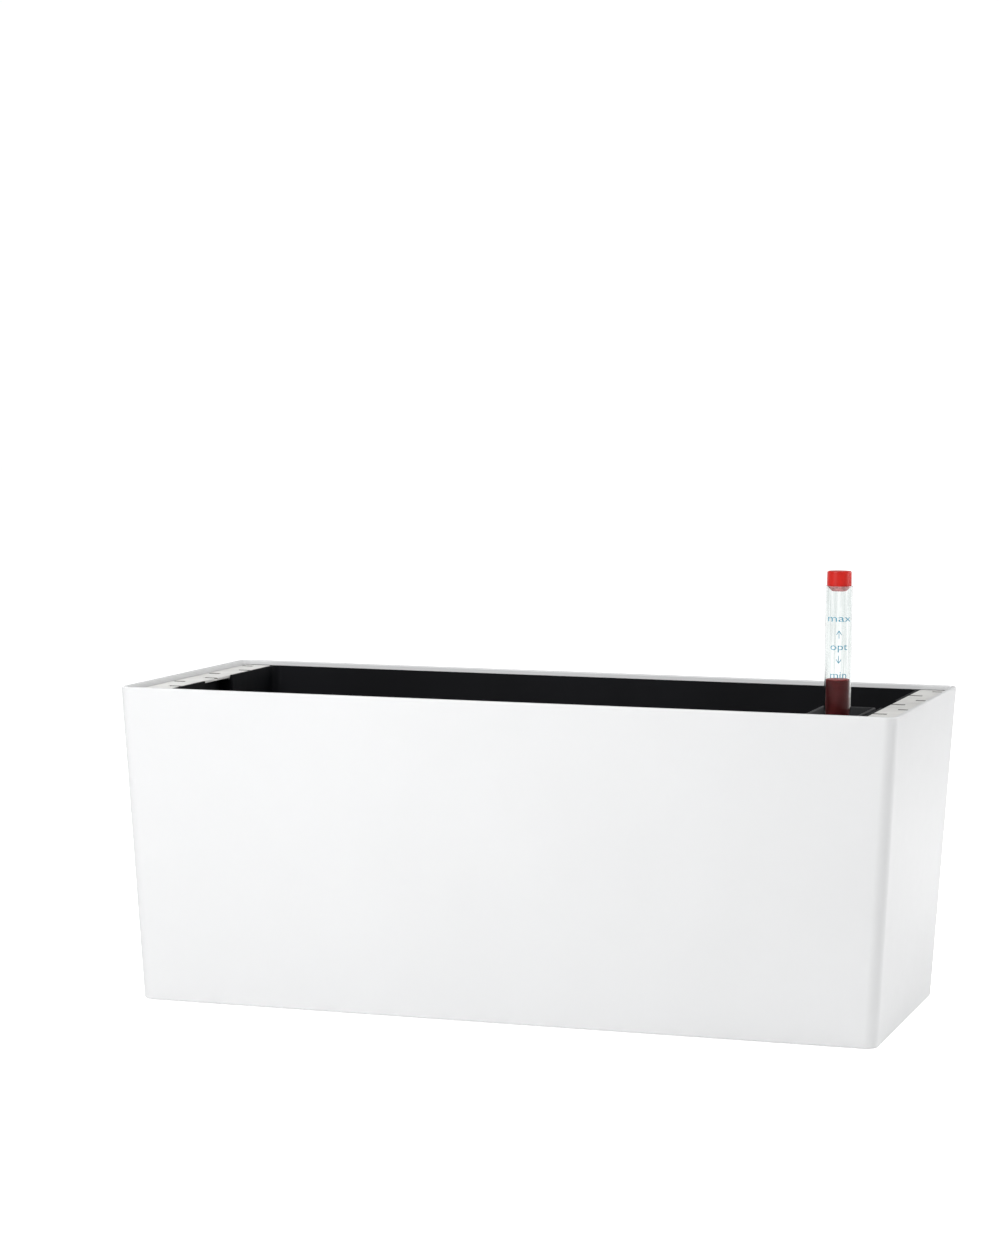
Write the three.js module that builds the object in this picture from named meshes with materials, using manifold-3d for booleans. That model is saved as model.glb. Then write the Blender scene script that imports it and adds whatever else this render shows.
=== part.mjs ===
// Rectangular self-watering planter: a tapered white cover pot, a lift-out black liner with two
// pull-up carrying handles, a perforated separator with three wicking baskets, a filler shaft and a
// float gauge. Millimetres, +Z up, +X along the length, front face towards -Y.
// The origin is the centre of the footprint, on the ground.
import * as THREE from "three";
import { mergeVertices } from "three/addons/utils/BufferGeometryUtils.js";
import Module from "manifold-3d";

const wasm = await Module();
wasm.setup();

// ---------------------------------------------------------------- driving dimensions
const RIM_LENGTH = 500; // outside, along X, at the cover pot's top edge
const RIM_DEPTH = 214; // outside, along Y
const RIM_Z = 202.5; // height of the top edge above the ground
const TAPER = 0.0563; // lean of the cover pot's walls, mm inwards per mm down
const END_TAPER = 0.02; // lean of the liner's end walls
const FIT = 0.3; // gap between pieces that rest on each other
const PAST = 1; // how far a cutting tool runs past the face that it cuts

// Cover pot
const SHELL_WALL = 3;
const SHELL_CORNER_R = 8;
const SHELL_BASE_Z = 1; // lower edge, carried clear of the ground by the pads
const SHELL_FLOOR_Z = 4.5; // underside of the floor, inside the base recess
const SHELL_FLOOR_T = 3;
const BASE_RIM_WIDTH = 5.5;
const PAD_R = 10;
const PAD_X = 215;
const PAD_Y = 78;

// Drain plug in the cover pot's floor, turned with a coin
const SHELL_DRAIN_R = 9;
const SHELL_PLUG_HEAD_R = 14;
const SHELL_PLUG_HEAD_Z = [1.6, 3.3];
const DRAIN_PLAY = 0.4; // radial gap between a drain hole and its plug
const WASHER_Z = [3.5, 4.3];
const COIN_SLOT_LENGTH = 18;
const COIN_SLOT_WIDTH = 2.6;
const COIN_SLOT_DEPTH = 0.9;

// Liner
const LINER_GAP = 1; // clearance to the cover pot's walls
const LINER_TOP_Z = RIM_Z - 3;
const LINER_WALL = 1.8;
const LINER_FLOOR_T = 2.2;
const LEDGE_TOP_Z = LINER_TOP_Z - 3.3; // the handles lie here, flush with the liner's edge
const LEDGE_T = 2.4;
const TUB_HALF_LENGTH = 224; // inside, at the liner's top
const TUB_HALF_DEPTH = 100;
const POST_R = 5; // the posts carry the separator
const POST_END_X = 190;
const POST_Y = 70;

// Drain plug in the liner's floor, pulled out by its knob
const LINER_DRAIN_R = 8;
const LINER_DRAIN_X = 45;
const LINER_PLUG_HEAD_R = 12;
const LINER_PLUG_HEAD_T = 2.7;
const KNOB_NECK_R = 3;
const KNOB_TOP_R = 4;
const KNOB_HEIGHT = 9;

// Pull-up handles
const BAR_X = [226, 244.6];
const BAR_HALF_LENGTH = 100.4;
const BAR_CORNER_R = 2;
const BAR_GROOVES = 7; // alternately in the outer and the inner half of the bar
const BAR_GROOVE_PITCH = 30;
const BAR_GROOVE_WIDTH = 5;
const BAR_GROOVE_DEPTH = 0.9;
const BAR_GROOVE_START = 0.4; // from the bar's centre line
const LEG_X = 235;
const LEG_Y = 50;
const LEG_T = 3;
const LEG_WIDTH = 16;
const LEG_BOTTOM_Z = 113.5;
const LEG_PLAY = 0.6;
const BARB_HEIGHT = 6;
const BARB_T = 6;
const GUIDE_WALL = 1.8;
const GUIDE_BOTTOM_Z = 180;
const FINGER_HALF_WIDTH = 24; // of the pocket under the middle of each bar
const FINGER_DEPTH = 10;
const FINGER_REACH_X = 234;
const FINGER_WALL = 1.6;
const GRIP_RISE = 1.2; // how much thinner the bar is over the pocket
const GRIP_REACH_X = 233;

// Separator
const PLATE_Z = 56; // top of the reservoir
const PLATE_T = 2.4;
const PLATE_GAP = 0.8;
const PLATE_CORNER_R = 5;
const PLATE_RIM_T = 1.6;
const PLATE_RIM_HEIGHT = 6;
const SLOT_LENGTH = 14;
const SLOT_WIDTH = 3;
const SLOT_PITCH = 22;
const SLOT_ROW_PITCH = 23;
const SLOT_ROWS_EACH_WAY = 3;
const SLOT_MARGIN = 3; // solid plate kept between a slot and its neighbours

// Wicking baskets
const BASKET_X = [-150, -20, 110];
const BASKET_TOP_R = 28;
const BASKET_FOOT_R = 22;
const BASKET_FOOT_Z = 12;
const BASKET_WALL = 1.8;
const BASKET_FLANGE_R = 32;
const BASKET_FLANGE_T = 2;
const BASKET_HOLE_PLAY = 0.4;
const BASKET_SLOTS = 8;
const BASKET_SLOT_WIDTH = 3.6;
const BASKET_SLOT_Z = [20, 48];

// Filler shaft
const SHAFT_X = [184.5, 214.9]; // inside faces
const POCKET_Y = [-72, -41.4]; // holds the gauge
const CHUTE_Y = [-39.6, -0.8]; // water is poured in here
const SHAFT_WALL = 1.8;
const SHAFT_TOP_Z = 197;
const DIVIDER_TOP_Z = 188;

// Float gauge
const GAUGE_X = 203.2;
const GAUGE_Y = -54;
const CHAMBER_R = 11.4;
const CHAMBER_WALL = 1.6;
const CHAMBER_FLOOR_T = 2;
const CHAMBER_FOOT_Z = 10.4;
const CHAMBER_SHOULDER_Z = 76;
const CHAMBER_SHOULDER_T = 1.5;
const CHAMBER_TOP_Z = 88;
const CHAMBER_SLOTS = 4;
const CHAMBER_SLOT_WIDTH = 4;
const CHAMBER_SLOT_Z = [15.4, 37.4];
const SOCKET_PLAY = 0.2; // radial gap between the tube and the chamber's socket
const TUBE_R = 8.2;
const TUBE_BORE_R = 7.6;
const TUBE_TOP_Z = 276.1;
const CAP_R = 7.5;
const CAP_TOP_Z = 285.1;
const CAP_CHAMFER = 0.8;
const CAP_SPIGOT_R = [4.4, 7.2]; // at its lower end and under the head
const CAP_SPIGOT_LENGTH = 3.5;
const CAP_SPIGOT_COLLAR = 0.6;
const COLUMN_R = 7.3;
const COLUMN_TOP_Z = 219.3; // at the lowest water level
const COLUMN_WALL = 1;
const COLUMN_TOP_T = 1.5;
const BULB_R = 9.2;
const BULB_HEIGHT = 26;
const BULB_CHAMFER = 1.5;
const BULB_SPIGOT_PLAY = 0.2;
const BULB_SPIGOT_LENGTH = 10;

// Numbers of sides of the turned pieces
const SIDES = { fine: 32, round: 24, plain: 20, small: 16, post: 12 };

// ---------------------------------------------------------------- derived places
const SHELL_FLOOR_TOP_Z = SHELL_FLOOR_Z + SHELL_FLOOR_T;
const LINER_BASE_Z = SHELL_FLOOR_TOP_Z + FIT;
const LINER_FLOOR_TOP_Z = LINER_BASE_Z + LINER_FLOOR_T;
const PLATE_HALF_LENGTH = TUB_HALF_LENGTH - END_TAPER * (LINER_TOP_Z - PLATE_Z) - PLATE_GAP;
const PLATE_HALF_DEPTH = TUB_HALF_DEPTH - TAPER * (LINER_TOP_Z - PLATE_Z) - PLATE_GAP;
const PLATE_TOP_Z = PLATE_Z + PLATE_T;
const BULB_LOW_Z = CHAMBER_FOOT_Z + CHAMBER_FLOOR_T + FIT;
const BULB_TOP_Z = BULB_LOW_Z + BULB_HEIGHT;
const POSTS_X = [-POST_END_X, LINER_DRAIN_X, POST_END_X];
const CORNERS = [1, -1].flatMap((side) => [1, -1].map((end) => [side, end]));

// ---------------------------------------------------------------- materials
const plastic = (color, roughness) => new THREE.MeshStandardMaterial({ color, roughness, metalness: 0 });
const shellWhite = plastic(0xf2f3f3, 0.35);
const linerBlack = plastic(0x17181b, 0.5);
const handleGrey = plastic(0xcfcfc9, 0.55);
const capRed = plastic(0xd8352c, 0.4);
const floatMaroon = plastic(0x7a2424, 0.4);
const foamWhite = plastic(0xeceae4, 0.8);
const rubberGrey = plastic(0x5c5e60, 0.85);
const clearPlastic = new THREE.MeshStandardMaterial({
  color: 0xe8f0f0,
  roughness: 0.08,
  metalness: 0,
  transparent: true,
  opacity: 0.35,
});

// ---------------------------------------------------------------- shape helpers
const around = (centre, half) => [centre - half, centre + half];
const onSide = (side, [near, far]) => (side > 0 ? [near, far] : [-far, -near]);

function roundedRect(length, depth, radius) {
  const x = length / 2;
  const y = depth / 2;
  const shape = new THREE.Shape();
  shape.absarc(x - radius, -y + radius, radius, -Math.PI / 2, 0);
  shape.absarc(x - radius, y - radius, radius, 0, Math.PI / 2);
  shape.absarc(-x + radius, y - radius, radius, Math.PI / 2, Math.PI);
  shape.absarc(-x + radius, -y + radius, radius, Math.PI, 1.5 * Math.PI);
  shape.closePath();
  return shape;
}

function prism(shape, z0, z1, curveSegments = 5) {
  const options = { depth: z1 - z0, bevelEnabled: false, curveSegments };
  return new THREE.ExtrudeGeometry(shape, options).translate(0, 0, z0);
}

// Leans every wall of an upright prism: points move outwards with height, none at zRef.
function leaned(geometry, slopeX, slopeY, zRef) {
  const position = geometry.getAttribute("position");
  for (let i = 0; i < position.count; i++) {
    const rise = position.getZ(i) - zRef;
    position.setX(i, position.getX(i) + Math.sign(position.getX(i)) * slopeX * rise);
    position.setY(i, position.getY(i) + Math.sign(position.getY(i)) * slopeY * rise);
  }
  return geometry;
}

const tapered = (length, depth, radius, [z0, z1], zRef, slopeX = TAPER) =>
  solid(leaned(prism(roundedRect(length, depth, radius), z0, z1), slopeX, TAPER, zRef));

function box([x0, x1], [y0, y1], [z0, z1]) {
  const geometry = new THREE.BoxGeometry(x1 - x0, y1 - y0, z1 - z0);
  return solid(geometry.translate((x0 + x1) / 2, (y0 + y1) / 2, (z0 + z1) / 2));
}

// A solid of revolution about an upright axis; the profile is a closed loop of [radius, z].
function turned(profile, x, y, sides) {
  const points = [...profile, profile[0]].map(([r, z]) => new THREE.Vector2(r, z));
  const geometry = new THREE.LatheGeometry(points, sides);
  return solid(geometry.rotateX(Math.PI / 2).translate(x, y, 0));
}

const rod = (radius, [z0, z1], x, y, sides = SIDES.round) =>
  turned([[0, z0], [radius, z0], [radius, z1], [0, z1]], x, y, sides);

// Upright slots at even angles round an axis, halfway between the X and Y directions.
function slotsRound([x, y], count, radius, reach, width, [z0, z1]) {
  return Array.from({ length: count }, (_, i) => {
    const slot = new THREE.BoxGeometry(reach, width, z1 - z0).translate(radius, 0, (z0 + z1) / 2);
    return solid(slot.rotateZ(((i + 0.5) / count) * 2 * Math.PI).translate(x, y, 0));
  });
}

// ---------------------------------------------------------------- booleans
function solid(geometry) {
  const bare = geometry.clone();
  bare.deleteAttribute("normal");
  bare.deleteAttribute("uv");
  const merged = mergeVertices(bare, 1e-4);
  return new wasm.Manifold(
    new wasm.Mesh({
      numProp: 3,
      vertProperties: merged.attributes.position.array,
      triVerts: new Uint32Array(merged.index.array),
    }),
  );
}

const joined = (pieces) => pieces.reduce((a, b) => a.add(b));
const cut = (body, tools) => tools.reduce((a, b) => a.subtract(b), body);

function piece(name, body, material) {
  const { vertProperties, triVerts } = body.getMesh();
  const geometry = new THREE.BufferGeometry();
  geometry.setAttribute("position", new THREE.BufferAttribute(vertProperties, 3));
  geometry.setIndex(new THREE.BufferAttribute(triVerts, 1));
  geometry.computeVertexNormals();
  const mesh = new THREE.Mesh(geometry, material);
  mesh.name = name;
  return mesh;
}

// ---------------------------------------------------------------- cover pot
function outerShell() {
  const baseInset = 2 * TAPER * (RIM_Z - SHELL_BASE_Z);
  const recess = roundedRect(
    RIM_LENGTH - baseInset - 2 * BASE_RIM_WIDTH,
    RIM_DEPTH - baseInset - 2 * BASE_RIM_WIDTH,
    SHELL_CORNER_R,
  );
  const outside = tapered(RIM_LENGTH, RIM_DEPTH, SHELL_CORNER_R, [SHELL_BASE_Z, RIM_Z], RIM_Z);
  const inside = tapered(
    RIM_LENGTH - 2 * SHELL_WALL,
    RIM_DEPTH - 2 * SHELL_WALL,
    SHELL_CORNER_R - SHELL_WALL,
    [SHELL_FLOOR_TOP_Z, RIM_Z + PAST],
    RIM_Z,
  );
  return cut(outside, [
    inside,
    solid(prism(recess, SHELL_BASE_Z - PAST, SHELL_FLOOR_Z)),
    rod(SHELL_DRAIN_R, [SHELL_FLOOR_Z - PAST, SHELL_FLOOR_TOP_Z + PAST], 0, 0),
  ]);
}

const footPad = (x, y) => rod(PAD_R, [0, SHELL_FLOOR_Z - FIT], x, y, SIDES.small);

function shellDrainPlug() {
  const [headLow, headTop] = SHELL_PLUG_HEAD_Z;
  const stemR = SHELL_DRAIN_R - DRAIN_PLAY;
  const stemTop = SHELL_FLOOR_TOP_Z - FIT;
  const profile = [
    [0, headLow],
    [SHELL_PLUG_HEAD_R, headLow],
    [SHELL_PLUG_HEAD_R, headTop],
    [stemR, headTop],
    [stemR, stemTop],
    [0, stemTop],
  ];
  const coinSlot = box(
    around(0, COIN_SLOT_LENGTH / 2),
    around(0, COIN_SLOT_WIDTH / 2),
    [headLow - PAST, headLow + COIN_SLOT_DEPTH],
  );
  return cut(turned(profile, 0, 0, SIDES.plain), [coinSlot]);
}

function shellDrainWasher() {
  const [low, high] = WASHER_Z;
  const profile = [
    [SHELL_DRAIN_R, low],
    [SHELL_PLUG_HEAD_R, low],
    [SHELL_PLUG_HEAD_R, high],
    [SHELL_DRAIN_R, high],
  ];
  return turned(profile, 0, 0, SIDES.plain);
}

// ---------------------------------------------------------------- liner
// A column round one handle leg's place, wider than the leg by the margin all round.
const legColumn = (side, end, margin, zRange) =>
  box(around(side * LEG_X, LEG_T / 2 + margin), around(end * LEG_Y, LEG_WIDTH / 2 + margin), zRange);

const legSlot = ([side, end]) =>
  legColumn(side, end, LEG_PLAY, [GUIDE_BOTTOM_Z - PAST, LEDGE_TOP_Z + PAST]);

const legGuide = ([side, end]) =>
  legColumn(side, end, LEG_PLAY + GUIDE_WALL, [GUIDE_BOTTOM_Z, LEDGE_TOP_Z - LEDGE_T / 2]);

// The recess that a handle lies in, open towards the cover pot's end wall.
const handleRecess = (side) =>
  box(
    onSide(side, [BAR_X[0] - FIT, RIM_LENGTH]),
    around(0, BAR_HALF_LENGTH + FIT),
    [LEDGE_TOP_Z, LINER_TOP_Z + PAST],
  );

// Fingers reach from inside the tub into this pocket, to get under the bar.
const fingerPocket = (side) =>
  box(
    onSide(side, [TUB_HALF_LENGTH + LINER_WALL / 2, FINGER_REACH_X + FINGER_WALL]),
    around(0, FINGER_HALF_WIDTH + FINGER_WALL),
    [LEDGE_TOP_Z - FINGER_DEPTH - FINGER_WALL, LEDGE_TOP_Z - LEDGE_T / 2],
  );

const fingerGap = (side) =>
  box(
    onSide(side, [TUB_HALF_LENGTH - SHELL_CORNER_R, FINGER_REACH_X]),
    around(0, FINGER_HALF_WIDTH),
    [LEDGE_TOP_Z - FINGER_DEPTH, LINER_TOP_Z + PAST],
  );

function innerLiner() {
  const flangeInset = 2 * (SHELL_WALL + LINER_GAP);
  const tubLength = 2 * TUB_HALF_LENGTH;
  const tubDepth = 2 * TUB_HALF_DEPTH;
  const outside = tapered(
    tubLength + 2 * LINER_WALL,
    tubDepth + 2 * LINER_WALL,
    SHELL_CORNER_R,
    [LINER_BASE_Z, LINER_TOP_Z],
    LINER_TOP_Z,
    END_TAPER,
  );
  const inside = tapered(
    tubLength,
    tubDepth,
    SHELL_CORNER_R - LINER_WALL,
    [LINER_FLOOR_TOP_Z, LINER_TOP_Z + PAST],
    LINER_TOP_Z,
    END_TAPER,
  );
  const flange = tapered(
    RIM_LENGTH - flangeInset,
    RIM_DEPTH - flangeInset,
    SHELL_CORNER_R - SHELL_WALL,
    [LEDGE_TOP_Z - LEDGE_T, LINER_TOP_Z],
    RIM_Z,
  );
  const added = [...CORNERS.map(legGuide), fingerPocket(1), fingerPocket(-1)];
  const body = cut(joined([outside, flange, ...added]), [
    inside,
    ...CORNERS.map(legSlot),
    handleRecess(1),
    handleRecess(-1),
    fingerGap(1),
    fingerGap(-1),
    rod(LINER_DRAIN_R, [LINER_BASE_Z - PAST, LINER_FLOOR_TOP_Z + PAST], LINER_DRAIN_X, 0),
  ]);
  const postZ = [LINER_FLOOR_TOP_Z - PAST, PLATE_Z - FIT];
  const posts = POSTS_X.flatMap((x) =>
    [-POST_Y, POST_Y].map((y) => rod(POST_R, postZ, x, y, SIDES.post)),
  );
  return joined([body, ...posts]);
}

function linerDrainPlug() {
  const headLow = LINER_FLOOR_TOP_Z + FIT;
  const headTop = headLow + LINER_PLUG_HEAD_T;
  const stemR = LINER_DRAIN_R - DRAIN_PLAY;
  const profile = [
    [0, LINER_BASE_Z + FIT],
    [stemR, LINER_BASE_Z + FIT],
    [stemR, headLow],
    [LINER_PLUG_HEAD_R, headLow],
    [LINER_PLUG_HEAD_R, headTop],
    [KNOB_NECK_R, headTop],
    [KNOB_TOP_R, headTop + KNOB_HEIGHT],
    [0, headTop + KNOB_HEIGHT],
  ];
  return turned(profile, LINER_DRAIN_X, 0, SIDES.plain);
}

// ---------------------------------------------------------------- handles
// One of the grooves across the bar's top face, each over half of the bar's width.
function barGroove(side, index) {
  const centre = (BAR_X[0] + BAR_X[1]) / 2;
  const innerHalf = [BAR_X[0] - PAST, centre - BAR_GROOVE_START];
  const outerHalf = [centre + BAR_GROOVE_START, BAR_X[1] + PAST];
  const y = (index - (BAR_GROOVES - 1) / 2) * BAR_GROOVE_PITCH;
  return box(
    onSide(side, index % 2 ? innerHalf : outerHalf),
    around(y, BAR_GROOVE_WIDTH / 2),
    [LINER_TOP_Z - BAR_GROOVE_DEPTH, LINER_TOP_Z + PAST],
  );
}

// A flat bar lies in the ledge's recess; its two legs run down through the guides and end in barbs.
function liftHandle(side) {
  const barBottom = LEDGE_TOP_Z + FIT;
  const barCentre = (BAR_X[0] + BAR_X[1]) / 2;
  const barShape = roundedRect(BAR_X[1] - BAR_X[0], 2 * BAR_HALF_LENGTH, BAR_CORNER_R);
  const bar = solid(prism(barShape, barBottom, LINER_TOP_Z, 3).translate(side * barCentre, 0, 0));
  const legs = [1, -1].flatMap((end) => {
    const width = around(end * LEG_Y, LEG_WIDTH / 2);
    return [
      box(around(side * LEG_X, LEG_T / 2), width, [LEG_BOTTOM_Z, barBottom + PAST]),
      box(around(side * LEG_X, BARB_T / 2), width, [LEG_BOTTOM_Z, LEG_BOTTOM_Z + BARB_HEIGHT]),
    ];
  });
  const grooves = Array.from({ length: BAR_GROOVES }, (_, i) => barGroove(side, i));
  const grip = box(
    onSide(side, [BAR_X[0] - PAST, GRIP_REACH_X]),
    around(0, FINGER_HALF_WIDTH),
    [barBottom - PAST, barBottom + GRIP_RISE],
  );
  return cut(joined([bar, ...legs]), [...grooves, grip]);
}

// ---------------------------------------------------------------- separator and baskets
function isClear(x, y) {
  const halfSlot = SLOT_LENGTH / 2 + SLOT_MARGIN;
  const nearBasket = BASKET_X.some((basketX) => Math.hypot(x - basketX, y) < BASKET_FLANGE_R + halfSlot);
  const inPostRow = Math.abs(Math.abs(y) - POST_Y) < POST_R + SLOT_MARGIN;
  const nearPost = inPostRow && POSTS_X.some((postX) => Math.abs(x - postX) < POST_R + halfSlot);
  const nearShaft = x > SHAFT_X[0] - SHAFT_WALL - halfSlot && y < CHUTE_Y[1] + SHAFT_WALL + SLOT_MARGIN;
  const nearRim = Math.abs(x) > PLATE_HALF_LENGTH - PLATE_RIM_T - halfSlot;
  return !nearBasket && !nearPost && !nearShaft && !nearRim;
}

// The places of the aeration slots, in rows that are shifted by half a pitch in turn.
function slotPlaces() {
  const places = [];
  const columns = Math.ceil(PLATE_HALF_LENGTH / SLOT_PITCH);
  for (let row = -SLOT_ROWS_EACH_WAY; row <= SLOT_ROWS_EACH_WAY; row++) {
    for (let column = -columns; column <= columns; column++) {
      const x = (column + (row % 2) / 2) * SLOT_PITCH;
      const y = row * SLOT_ROW_PITCH;
      if (isClear(x, y)) places.push([x, y]);
    }
  }
  return places;
}

function separatorPlate() {
  const length = 2 * PLATE_HALF_LENGTH;
  const depth = 2 * PLATE_HALF_DEPTH;
  const rimTop = PLATE_TOP_Z + PLATE_RIM_HEIGHT;
  const hollow = roundedRect(
    length - 2 * PLATE_RIM_T,
    depth - 2 * PLATE_RIM_T,
    PLATE_CORNER_R - PLATE_RIM_T,
  );
  const through = [PLATE_Z - PAST, PLATE_TOP_Z + PAST];
  const openings = [
    ...BASKET_X.map((x) => rod(BASKET_TOP_R + BASKET_HOLE_PLAY, through, x, 0, SIDES.fine)),
    box(SHAFT_X, [POCKET_Y[0], CHUTE_Y[1]], through),
    ...slotPlaces().map(([x, y]) => box(around(x, SLOT_LENGTH / 2), around(y, SLOT_WIDTH / 2), through)),
  ];
  return cut(solid(prism(roundedRect(length, depth, PLATE_CORNER_R), PLATE_Z, rimTop)), [
    solid(prism(hollow, PLATE_TOP_Z, rimTop + PAST)),
    joined(openings),
  ]);
}

// A conical cup that hangs from its flange and carries soil down into the water.
function wickBasket(x) {
  const flangeZ = PLATE_TOP_Z + FIT;
  const topZ = flangeZ + BASKET_FLANGE_T;
  const profile = [
    [0, BASKET_FOOT_Z],
    [BASKET_FOOT_R, BASKET_FOOT_Z],
    [BASKET_TOP_R, flangeZ],
    [BASKET_FLANGE_R, flangeZ],
    [BASKET_FLANGE_R, topZ],
    [BASKET_TOP_R - BASKET_WALL, topZ],
    [BASKET_FOOT_R - BASKET_WALL, BASKET_FOOT_Z + BASKET_WALL],
    [0, BASKET_FOOT_Z + BASKET_WALL],
  ];
  const slots = slotsRound(
    [x, 0],
    BASKET_SLOTS,
    BASKET_TOP_R - PAST,
    BASKET_TOP_R / 2,
    BASKET_SLOT_WIDTH,
    BASKET_SLOT_Z,
  );
  return cut(turned(profile, x, 0, SIDES.fine), slots);
}

// ---------------------------------------------------------------- filler shaft
function fillerShaft() {
  const z0 = PLATE_TOP_Z + FIT;
  const outside = box(
    [SHAFT_X[0] - SHAFT_WALL, SHAFT_X[1] + SHAFT_WALL],
    [POCKET_Y[0] - SHAFT_WALL, CHUTE_Y[1] + SHAFT_WALL],
    [z0, SHAFT_TOP_Z],
  );
  return cut(outside, [
    box(SHAFT_X, POCKET_Y, [z0 - PAST, SHAFT_TOP_Z]),
    box(SHAFT_X, CHUTE_Y, [z0 - PAST, SHAFT_TOP_Z]),
    box(SHAFT_X, [POCKET_Y[0], CHUTE_Y[1]], [DIVIDER_TOP_Z, SHAFT_TOP_Z + PAST]),
  ]);
}

// ---------------------------------------------------------------- gauge
const gaugeTurned = (profile) => turned(profile, GAUGE_X, GAUGE_Y, SIDES.round);

function gaugeChamber() {
  const insideR = CHAMBER_R - CHAMBER_WALL;
  const socketR = TUBE_R + SOCKET_PLAY;
  const neckR = socketR + CHAMBER_WALL;
  const stopZ = CHAMBER_SHOULDER_Z + CHAMBER_SHOULDER_T;
  const floorTopZ = CHAMBER_FOOT_Z + CHAMBER_FLOOR_T;
  const body = gaugeTurned([
    [0, CHAMBER_FOOT_Z],
    [CHAMBER_R, CHAMBER_FOOT_Z],
    [CHAMBER_R, stopZ],
    [neckR, stopZ + CHAMBER_SHOULDER_T],
    [neckR, CHAMBER_TOP_Z],
    [socketR, CHAMBER_TOP_Z],
    [socketR, stopZ],
    [TUBE_BORE_R, stopZ],
    [TUBE_BORE_R, CHAMBER_SHOULDER_Z],
    [insideR, CHAMBER_SHOULDER_Z],
    [insideR, floorTopZ],
    [0, floorTopZ],
  ]);
  const slots = slotsRound(
    [GAUGE_X, GAUGE_Y],
    CHAMBER_SLOTS,
    CHAMBER_R,
    2 * CHAMBER_SLOT_WIDTH,
    CHAMBER_SLOT_WIDTH,
    CHAMBER_SLOT_Z,
  );
  return cut(body, slots);
}

function gaugeTube() {
  const footZ = CHAMBER_SHOULDER_Z + CHAMBER_SHOULDER_T + FIT;
  return gaugeTurned([
    [TUBE_BORE_R, footZ],
    [TUBE_R, footZ],
    [TUBE_R, TUBE_TOP_Z],
    [TUBE_BORE_R, TUBE_TOP_Z],
  ]);
}

function gaugeCap() {
  const headZ = TUBE_TOP_Z + FIT;
  return gaugeTurned([
    [0, headZ - CAP_SPIGOT_LENGTH],
    [CAP_SPIGOT_R[0], headZ - CAP_SPIGOT_LENGTH],
    [CAP_SPIGOT_R[1], headZ - CAP_SPIGOT_COLLAR],
    [CAP_SPIGOT_R[1], headZ],
    [CAP_R, headZ],
    [CAP_R, CAP_TOP_Z - CAP_CHAMFER],
    [CAP_R - CAP_CHAMFER, CAP_TOP_Z],
    [0, CAP_TOP_Z],
  ]);
}

function floatColumn() {
  const boreR = COLUMN_R - COLUMN_WALL;
  return gaugeTurned([
    [boreR, BULB_TOP_Z + FIT],
    [COLUMN_R, BULB_TOP_Z + FIT],
    [COLUMN_R, COLUMN_TOP_Z],
    [0, COLUMN_TOP_Z],
    [0, COLUMN_TOP_Z - COLUMN_TOP_T],
    [boreR, COLUMN_TOP_Z - COLUMN_TOP_T],
  ]);
}

function floatBulb() {
  const spigotR = COLUMN_R - COLUMN_WALL - BULB_SPIGOT_PLAY;
  return gaugeTurned([
    [0, BULB_LOW_Z],
    [BULB_R - BULB_CHAMFER, BULB_LOW_Z],
    [BULB_R, BULB_LOW_Z + BULB_CHAMFER],
    [BULB_R, BULB_TOP_Z - BULB_CHAMFER],
    [BULB_R - BULB_CHAMFER, BULB_TOP_Z],
    [spigotR, BULB_TOP_Z],
    [spigotR, BULB_TOP_Z + BULB_SPIGOT_LENGTH],
    [0, BULB_TOP_Z + BULB_SPIGOT_LENGTH],
  ]);
}

// ---------------------------------------------------------------- assembly
const coverPot = new THREE.Group();
coverPot.add(
  piece("outer_shell", outerShell(), shellWhite),
  piece("foot_pad_front_left", footPad(-PAD_X, -PAD_Y), rubberGrey),
  piece("foot_pad_front_right", footPad(PAD_X, -PAD_Y), rubberGrey),
  piece("foot_pad_rear_left", footPad(-PAD_X, PAD_Y), rubberGrey),
  piece("foot_pad_rear_right", footPad(PAD_X, PAD_Y), rubberGrey),
  piece("shell_drain_washer", shellDrainWasher(), rubberGrey),
  piece("shell_drain_plug", shellDrainPlug(), linerBlack),
);

const liner = new THREE.Group();
liner.add(
  piece("inner_liner", innerLiner(), linerBlack),
  piece("liner_drain_plug", linerDrainPlug(), rubberGrey),
  piece("left_lift_handle", liftHandle(-1), handleGrey),
  piece("right_lift_handle", liftHandle(1), handleGrey),
);

const separator = new THREE.Group();
separator.add(
  piece("separator_plate", separatorPlate(), linerBlack),
  piece("filler_shaft", fillerShaft(), linerBlack),
  piece("wick_basket_left", wickBasket(BASKET_X[0]), linerBlack),
  piece("wick_basket_centre", wickBasket(BASKET_X[1]), linerBlack),
  piece("wick_basket_right", wickBasket(BASKET_X[2]), linerBlack),
);

const gauge = new THREE.Group();
gauge.add(
  piece("gauge_chamber", gaugeChamber(), linerBlack),
  piece("gauge_tube", gaugeTube(), clearPlastic),
  piece("gauge_cap", gaugeCap(), capRed),
  piece("float_column", floatColumn(), floatMaroon),
  piece("float_bulb", floatBulb(), foamWhite),
);

const planter = new THREE.Group();
planter.add(coverPot, liner, separator, gauge);

export default planter;
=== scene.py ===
"""A rectangular self-watering planter: the looks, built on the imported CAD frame.

Shapes are worked out in millimetres in the frame's axes (+X along the length, +Z up, front face
towards -Y) and turned into metres when a mesh is made. The floor and the lights are given in metres.
"""
import math

import bmesh
import bpy
from mathutils import Matrix, Vector


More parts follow.
